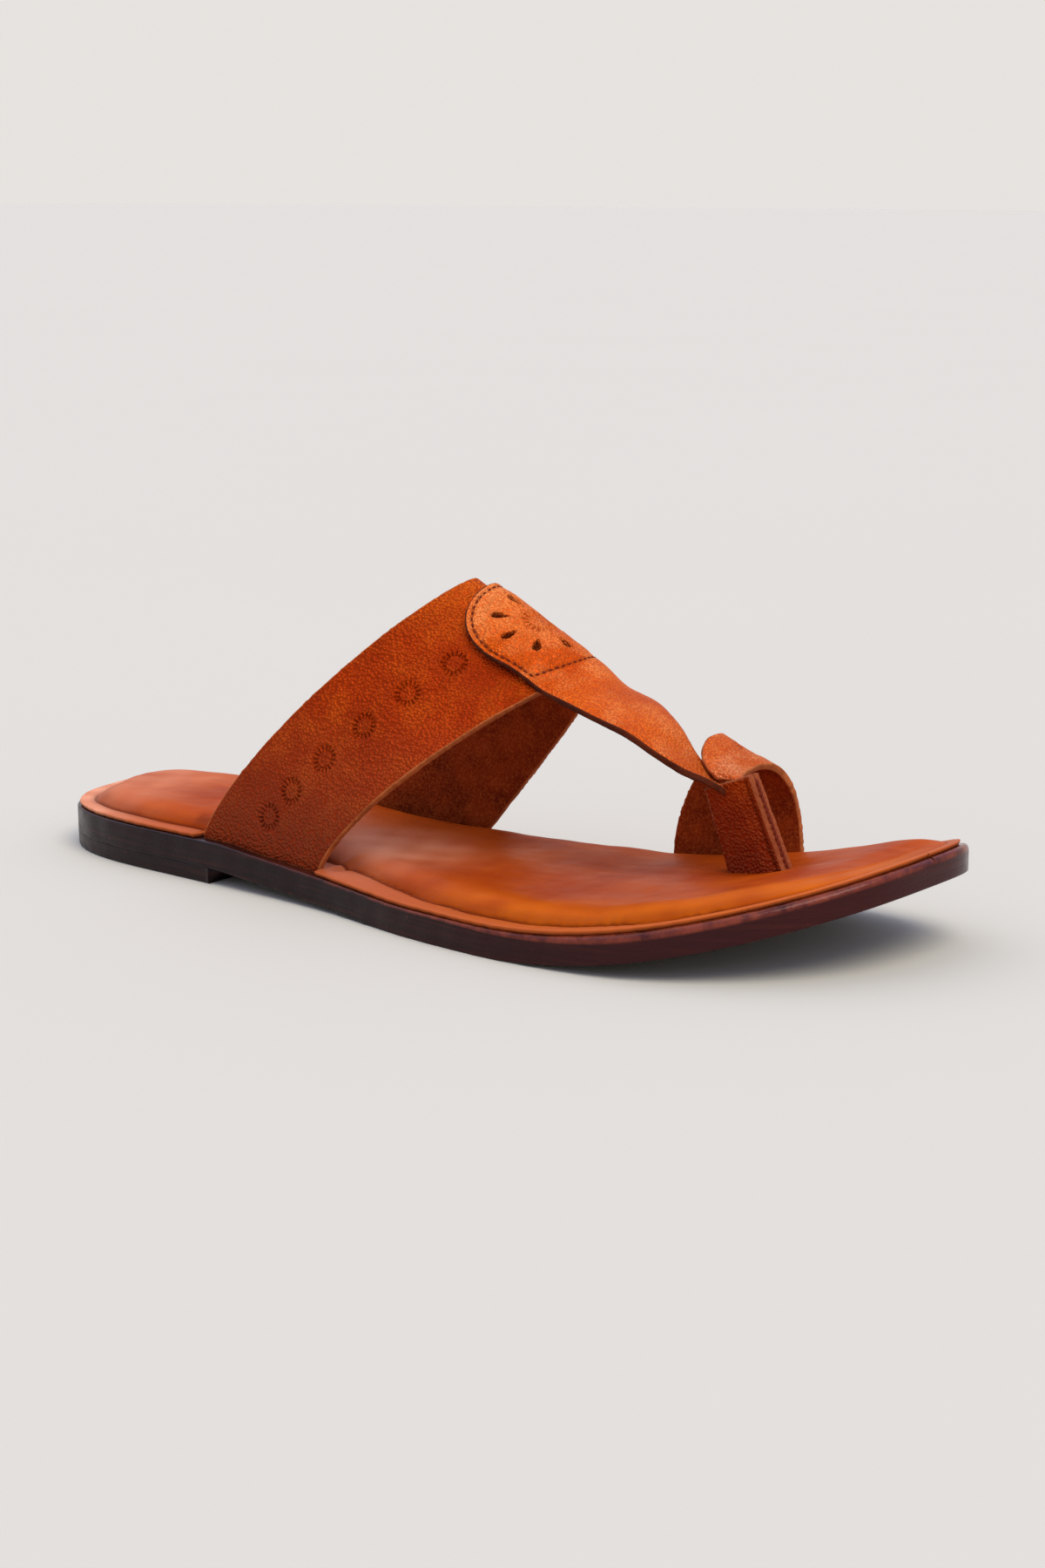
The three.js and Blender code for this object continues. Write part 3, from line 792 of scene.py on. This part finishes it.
def toe_post(materials, thread_material):
    """Strap folded double: fold at the back, both raw edges and a seam at the front."""
    heights = np.linspace(0, 1, 46)[:, None]
    foot = {key: np.array([x, y, sole_top(x) + BASE_CLEARANCE]) for key, (x, y) in POST_FOOT.items()}
    back = foot["back"] + (np.array(POST_TOP["back"], float) - foot["back"]) * heights
    front = foot["front"] + (np.array(POST_TOP["front"], float) - foot["front"]) * heights
    ahead = unit(front - back)
    upright = unit(np.gradient(back, axis=0))
    medial = unit(np.cross(upright, ahead))
    half = POST_THICKNESS / 2
    reach = np.linalg.norm(front - back, axis=1)[:, None]
    columns = []
    run = np.append(np.linspace(0, 0.25, 12), np.linspace(0.28, 1, 22))
    for share in run[:-1]:
        columns.append(front + (back - front) * share - medial * half)
    for angle in np.linspace(0, math.pi, 11):
        columns.append(back - medial * half * math.cos(angle) - ahead * half * math.sin(angle))
    for share in run[:-1][::-1]:
        columns.append(front + (back - front) * share + medial * half)
    grid = np.stack(columns, axis=1)
    depth_in = np.concatenate([run[:-1], np.ones(11), run[:-1][::-1]]) * reach
    seam = bump_at(depth_in, POST_SEAM, 0.6)
    swell = ramp(depth_in, 2.2, 6.0) * ramp(depth_in, 20, 10)
    relief = 0.45 * swell - 0.42 * seam + 0.1 * waves(grid, 8, 51)
    mark = 0.35 * bump_at(depth_in, POST_SEAM, 0.5)
    normals = grid_normals(grid)
    sheet = leather_sheet(grid, normals, relief, 53, thickness=half - 0.12)
    add_sheet("toe_post", sheet, mark, materials)

    channel = front + 0.1 * ahead
    turns = stitch_spans(channel, ahead + 0 * front, 1.5, 2.4)
    sway = POST_THREAD * 0.9 * medial.mean(axis=0)
    add_stitches("post_stitches", (turns[0] - sway, turns[1] + sway, turns[2]), POST_THREAD,
                 thread_material)


# ---- sole ---------------------------------------------------------------------------------

def shell(fractions, insets, across, height_at):
    """Closed loop of columns round the sole's outline at each station: up the lateral side,
    over the top, down the medial side and back underneath. insets(side) gives the columns of
    one side from the bottom to the top."""
    sides = []
    for medial in (False, True):
        inset = insets(fractions, medial)
        place = outline_points(fractions, medial, inset)
        sides.append((place, inset))
    (lateral, lateral_in), (medial, medial_in) = sides
    shares = np.linspace(0, 1, across + 1)[1:-1]

    def ladder(start, end, depth):
        rung = start[:, None] + (end - start)[:, None] * shares[:, None]
        reach = np.minimum(shares, 1 - shares) * np.linalg.norm(end - start, axis=1)[:, None]
        return rung, depth[:, None] + reach

    top, top_in = ladder(lateral[:, -1], medial[:, -1], lateral_in[:, -1])
    low, low_in = ladder(medial[:, 0], lateral[:, 0], lateral_in[:, 0])
    place = np.concatenate([lateral, top, medial[:, ::-1], low], axis=1)
    depth = np.concatenate([lateral_in, top_in, medial_in[:, ::-1], low_in], axis=1)
    count = lateral.shape[1]
    up = np.arange(count)
    column = np.concatenate([up, np.full(across - 1, count), up[::-1], np.full(across - 1, -1)])
    height = height_at(place, depth, column, fractions)
    points = np.concatenate([place, height[..., None]], axis=2)
    index = np.arange(points.shape[0] * points.shape[1]).reshape(points.shape[:2])
    closed = np.concatenate([index, index[:, :1]], axis=1)
    return points, grid_faces(closed), depth, column


SOLE_SIDE = [  # inset and height share of the sole's side, from the underside to the bevel
    (6.0, 0.0), (2.2, 0.0), (0.25, 0.0), (0.07, 0.01), (0.0, 0.035), (0.0, 0.09), (0.0, 0.30),
    (0.01, 0.325), (0.05, 0.335), (0.01, 0.345), (0.0, 0.37), (0.0, 0.50), (0.0, 0.62),
]
BEVEL_STEPS = 6


def bevel_width(fractions, medial):
    """Rounding of the sole's top edge, wide along the forefoot and narrow at the heel."""
    return 0.7 + (1.0 if medial else 1.7) * ramp(fractions, 0.55, 0.72)


def outsole(material):
    side_insets = np.array([row[0] for row in SOLE_SIDE])
    side_heights = np.array([row[1] for row in SOLE_SIDE])
    arc = np.linspace(0, math.pi / 2, BEVEL_STEPS + 1)

    def insets(fractions, medial):
        width = bevel_width(fractions, medial)[:, None]
        bevel = width * (1 - np.cos(arc))
        flat = np.concatenate([width + 0.8, width + 3.5], axis=1)
        side = side_insets + 0 * width
        return np.concatenate([side, bevel, flat], axis=1)

    def height_at(place, depth, column, fractions):
        x = place[..., 0]
        base = sole_underside(x)
        width = bevel_width(fractions, False)[:, None]
        share = np.zeros_like(x)
        count = len(side_heights)
        for k, value in enumerate(column):
            if 0 <= value < count:
                share[:, k] = side_heights[value] * SOLE_THICKNESS
            elif count <= value <= count + BEVEL_STEPS:
                drop = width[:, 0] * (1 - math.sin(arc[value - count]))
                share[:, k] = SOLE_THICKNESS - drop
            elif value > count + BEVEL_STEPS:
                share[:, k] = SOLE_THICKNESS
        return base + share

    points, faces, depth, column = shell(np.linspace(0, 1, 261), insets, 10, height_at)
    wobble = 0.09 * waves(points, 9, 71)
    points[..., 1] += wobble * np.sign(points[..., 1]) * (depth < 2)
    piece = add_piece("outsole_leather", points.reshape(-1, 3), faces.tolist(), [material],
                      "outsole")
    first = len(side_insets)
    bevel = ((column > first) & (column <= first + BEVEL_STEPS + 1)) + 0 * depth
    paint(piece, "bevel", bevel * ramp(points[..., 0], 60, 190))
    weld(piece)


HEEL_SIDE = [  # inset and height of the heel layer's side, from the underside to the top
    (5.0, 0.0), (1.5, 0.0), (0.7, 0.04), (0.35, 0.25), (0.18, 0.6), (0.12, 1.2), (0.1, 2.0),
    (0.08, 2.9), (0.04, 3.8), (0.01, 4.35), (0.01, 4.49), (3.0, 4.495),
]


def heel_layer(material):
    """Stacked layer under the heel, cut square at the breast, with a rubbed lower edge."""
    profile = np.array(HEEL_SIDE)

    def insets(fractions, medial):
        return profile[:, 0] + 0 * fractions[:, None]

    def height_at(place, depth, column, fractions):
        heights = np.append(profile[:, 1], [profile[-1, 1], profile[0, 1]])
        return heights[column] + 0 * depth

    points, _, _, _ = shell(np.linspace(0, 0.6, 220), insets, 8, height_at)
    points[..., 0] = np.minimum(points[..., 0], HEEL_BREAST)
    last = int(np.argmax(points[..., 0].min(axis=1) >= HEEL_BREAST - 1e-6))
    points = points[:last + 1]
    index = np.arange(points[..., 0].size).reshape(points.shape[:2])
    faces = grid_faces(np.concatenate([index, index[:, :1]], axis=1)).tolist()
    faces.append(index[-1][::-1].tolist())
    piece = add_piece("heel_layer", points.reshape(-1, 3), faces, [material],
                      "heel_lift")
    weld(piece)


# ---- footbed ------------------------------------------------------------------------------

# Distances of the footbed's rings of points from its edge, close together round the crease.
FOOTBED_RINGS = [0.0, 0.12, 0.4, 0.9, 1.6, 2.5, 3.3, 3.9, 4.25, 4.5, 4.75, 5.1, 5.5, 5.9, 6.3, 6.7,
                 7.1, 7.5, 7.9, 8.3, 8.7, 9.1, 9.5, 10.0, 10.5]


def window(x, start, end, soft):
    """1 from start to end, falling to 0 over the soft distance beyond each."""
    return ramp(x, start - soft, start) * ramp(x, end + soft, end)


# Where the footbed makes room for a strap's end: from and to along the sole, and how deep.
MEDIAL_SLOTS = [(76, 120.5, 3.8), (181, 220, 4.6)]
LATERAL_SLOTS = [(66.5, 112.5, 5.0)]
SLOT_SOFTNESS = 1.6


def footbed_cut(fractions, medial):
    """How far the footbed's edge steps in where a strap goes down to the sole, and at the toe."""
    x = outline_points(fractions, medial, np.zeros((len(fractions), 1)))[:, 0, 0]
    slots = MEDIAL_SLOTS if medial else LATERAL_SLOTS
    cut = sum(reach * window(x, start, end, SLOT_SOFTNESS) for start, end, reach in slots)
    toe = 1.5 * ramp(fractions, 0.62, 0.8)
    ragged = 0.16 * waves(np.stack([x, fractions * 90], axis=1), 5, 81 + medial)
    return np.maximum(cut, toe) + ragged


def crease_depth(x, y):
    """Distance of the crease round the padding from the sole's edge: wider before the band."""
    return RIM_INSET + RIM_WIDTH + RIM_FLARE * ramp(x, 170, 118) * ramp(x, 90, 100) * (y < 0)


def footbed_surface(place, depth, fractions):
    """Height of the footbed above the sole, with its crease, padding, dips and wrinkles."""
    x, y = place[..., 0], place[..., 1]
    fraction = fractions[:, None]
    rim = crease_depth(x, y)
    inward = np.maximum(0, depth - rim) / PAD_SHOULDER
    swell = np.sin(np.minimum(1, inward) * math.pi / 2) ** 0.8
    fade = 1 - PAD_FADE * ramp(fraction, PAD_FADE_START, PAD_FADE_END)
    height = GAP + RIM_THICKNESS + PAD_HEIGHT * swell * fade
    wander = 0.35 * waves(place, 22, 90)
    crease = bump_at(depth - rim + wander, 0, 0.5)
    crease *= 1 - 0.85 * ramp(fraction, 0.80, 0.93)
    height -= 0.55 * crease
    height -= 0.16 * bump_at(depth, RIM_INSET + 3.1, 0.25) * (1 - ramp(fraction, 0.75, 0.85))
    height += 0.22 * waves(place, 30, 91) * swell + 0.05 * waves(place, 8, 92) * swell
    post = np.hypot((x - POST_DIP[0]) / 15, (y - POST_DIP[1]) / 7)
    height -= 0.8 * ramp(post, 1.6, 0.7)
    pleat_x, pleat_y = x - PLEAT[0], y - PLEAT[1]
    along = pleat_x * 0.45 + pleat_y * 0.9
    beside = pleat_x * 0.9 - pleat_y * 0.45
    reach = ramp(along, -6, -1) * ramp(along, 8, 2)
    height += reach * (-0.9 * bump_at(beside, 0, 0.9) + 0.5 * bump_at(beside, -2.2, 1.2))
    pucker = bump_at(depth, rim + 1.2, 1.5) * waves(place * [1.0, 0.5], 3.6, 94)
    height += 0.2 * pucker * window(x, 130, 235, 15)
    return height, crease


def footbed(material):
    rings = np.array(FOOTBED_RINGS)
    under = np.array([3.0, 0.5])

    def insets(fractions, medial):
        start = RIM_EDGE + footbed_cut(fractions, medial)[:, None]
        span = np.maximum(1.0, rings[-1] + RIM_INSET - start)
        ring = start + rings / rings[-1] * span
        near = rings < 3
        ring[:, near] = start + rings[near]
        inner = RIM_INSET + rings[~near]
        ring[:, ~near] = np.maximum(inner, start + 3.0 + 0.02 * (rings[~near] - 3))
        return np.concatenate([start + under, ring], axis=1)

    marks = {}

    def height_at(place, depth, column, fractions):
        above, crease = footbed_surface(place, depth, fractions)
        base = sole_top(place[..., 0])
        first = len(under)
        lip = np.zeros(column.max() + 2)
        lip[first:first + 3] = 0.4, 0.14, 0.03
        height = np.where(column < first, base + RIM_SEAT, base + above - lip[column])
        x, y = place[..., 0], place[..., 1]
        rim = crease_depth(x, y)
        # Painted shade: the crease, the hollow beside it, the footbed under the band and the pocket
        # behind its back corner darken where shade falls; the post's dip and the scribed heel line
        # are burnished.
        hollow_shade = bump_at(depth, rim + 1.2, 2.2)
        hollow_shade *= (1 - ramp(fractions, 0.75, 0.9))[:, None]
        band_shade = window(x, 64, 116, 5) * ramp(depth, 16, 6)
        post = ramp(np.hypot((x - POST_DIP[0]) / 14, (y - POST_DIP[1]) / 7), 1.5, 0.75)
        corner_shadow = bump_at(depth, rim + 2.5, 3.0) * window(x, 61, 80, 4)
        scribed = bump_at(depth, rim - 1.5, 0.45) * ramp(x, 66, 56)
        shades = [0.85 * crease, 0.32 * hollow_shade, 0.15 * band_shade, 0.15 * post, 0.6 * corner_shadow,
                  0.4 * scribed]
        marks["burnish_and_shade"] = np.clip(np.maximum.reduce(shades), 0, 1)
        marks["rim"] = ramp(depth, rim + 0.1, rim - 0.9)
        cloudy = 1 + 0.35 * waves(place, 14, 97)
        # Painted sheen: pale patches on the pad in front of the band and over the heel stand in for
        # the soft reflections there.
        beside_band = bump_at(np.hypot((x - 122) / 1.3, y + 15), 0, 15)
        heel = ramp(x, 52, 12) * (0.3 + 0.3 * marks["rim"])
        marks["wear_and_sheen"] = np.clip(np.maximum(0.6 * beside_band, heel) * cloudy, 0, 1)
        # Golden tone towards the toe, standing partly for a painted golden highlight.
        forefoot = bump_at(depth, rim + 3, 8) * window(x, 185, 255, 50) * ramp(y, 26, 10)
        marks["gold_and_sheen"] = np.clip(0.5 * forefoot * cloudy, 0, 1)
        return height

    points, faces, depth, column = shell(np.linspace(0, 1, 441), insets, 60, height_at)
    piece = add_piece("footbed_leather", points.reshape(-1, 3), faces.tolist(), [material],
                      "footbed")
    for name, values in marks.items():
        paint(piece, name, values)
    weld(piece)


# ---- stage --------------------------------------------------------------------------------

# The camera's place in the shoe's frame, in millimetres, and what it looks at.
CAMERA_PLACE = (596.3, -604.1, 196.0)
CAMERA_AIM = (152.0, 4.0, 32.0)
CAMERA_LENS = 64.0
FLOOR_SIZE = 30.0
WALL_COLOUR = (0.795, 0.768, 0.742, 1)       # the studio's pale walls, seen beyond the floor
CEILING_COLOUR = (0.76, 0.81, 1.20, 1)
KEY_STRENGTH = 2.1
FILL_STRENGTH = 0.5


def part_place(point):
    return Vector([(a - b) * 0.001 for a, b in zip(point, ORIGIN)])


def add_camera():
    data = bpy.data.cameras.new("camera")
    data.lens = CAMERA_LENS
    data.clip_start, data.clip_end = 0.01, 100
    camera = add_object("camera", data)
    camera.location = part_place(CAMERA_PLACE)
    sight = part_place(CAMERA_AIM) - camera.location
    camera.rotation_mode = "QUATERNION"
    camera.rotation_quaternion = sight.to_track_quat("-Z", "Y")
    bpy.context.scene.camera = camera


def add_floor():
    half = FLOOR_SIZE / 2
    mesh = bpy.data.meshes.new("floor")
    corners = [(-half, -half, 0), (half, -half, 0), (half, half, 0), (-half, half, 0)]
    mesh.from_pydata(corners, [], [(0, 1, 2, 3)])
    m = Nodes("floor_paint")
    tone = m.noise(400, 2)
    colour = m.mix(tone, (0.515, 0.506, 0.434, 1), (0.523, 0.514, 0.442, 1))
    mesh.materials.append(m.finish(Base_Color=colour, Roughness=0.9, Specular_IOR_Level=0.1))
    add_object("floor", mesh)


def add_sun(name, direction, strength, colour, angle):
    data = bpy.data.lights.new(name, "SUN")
    data.energy = strength
    data.color = colour
    data.angle = math.radians(angle)
    light = add_object(name, data)
    light.rotation_mode = "QUATERNION"
    light.rotation_quaternion = (-Vector(direction)).to_track_quat("-Z", "Y")


def add_studio():
    world = bpy.data.worlds.new("studio")
    world.use_nodes = True
    tree = world.node_tree
    height = tree.nodes.new("ShaderNodeSeparateXYZ")
    tree.links.new(tree.nodes.new("ShaderNodeTexCoord").outputs["Generated"], height.inputs[0])
    fade = tree.nodes.new("ShaderNodeValToRGB")
    tree.links.new(height.outputs["Z"], fade.inputs["Fac"])
    tree.links.new(fade.outputs["Color"], tree.nodes["Background"].inputs["Color"])
    fade.color_ramp.elements[0].position = 0.2
    fade.color_ramp.elements[0].color = WALL_COLOUR
    fade.color_ramp.elements[1].position = 0.5
    fade.color_ramp.elements[1].color = CEILING_COLOUR
    bpy.context.scene.world = world
    add_sun("key", (0.46, -0.16, 0.87), KEY_STRENGTH, (1.0, 0.9, 0.7), 40)
    add_sun("fill", (-0.5, 0.1, 0.9), FILL_STRENGTH, (1.0, 0.92, 0.77), 60)
    bpy.context.scene.view_settings.view_transform = "Standard"


# ---- build --------------------------------------------------------------------------------

thread_material = seam_thread()
suede = flesh_side()
band_materials = [
    strap_leather("band_leather", srgb(168, 54, 4), srgb(130, 34, 3), srgb(210, 96, 18)),
    raw_edge("pale_edge", srgb(158, 84, 40), srgb(182, 106, 58)),
    suede,
]
# The T-strap and loop take lighter copies of the strap leather: partly a paler hide, partly painted
# highlight for their brightly lit tops.
t_strap_materials = [
    strap_leather("t_strap_leather", srgb(214, 98, 20), srgb(180, 64, 10), srgb(234, 142, 76), 0.5),
    # Dark cut edge: dyed dark, and dark enough to stand in for the shadow line along the head's
    # edge.
    raw_edge("dark_edge", srgb(54, 20, 9), srgb(84, 38, 20)),
    suede,
]
loop_materials = [
    strap_leather("loop_leather", srgb(212, 98, 30), srgb(176, 62, 12), srgb(240, 162, 108), 0.6),
    band_materials[1],
    suede,
]
post_materials = [
    band_materials[0],
    raw_edge("post_edge", srgb(122, 56, 26), srgb(158, 84, 48)),
    suede,
]

outsole(sole_leather("sole_leather"))
heel_layer(sole_leather("heel_leather", 0.08))
footbed(footbed_leather())
arch_strap("instep_band", BAND_EDGES, BAND_STAMPS, band_materials, 11)
t_strap(t_strap_materials, thread_material)
toe_post(post_materials, thread_material)
arch_strap("toe_loop", LOOP_EDGES, LOOP_STAMPS, loop_materials, 21, sides=(1,))

add_camera()
add_floor()
add_studio()
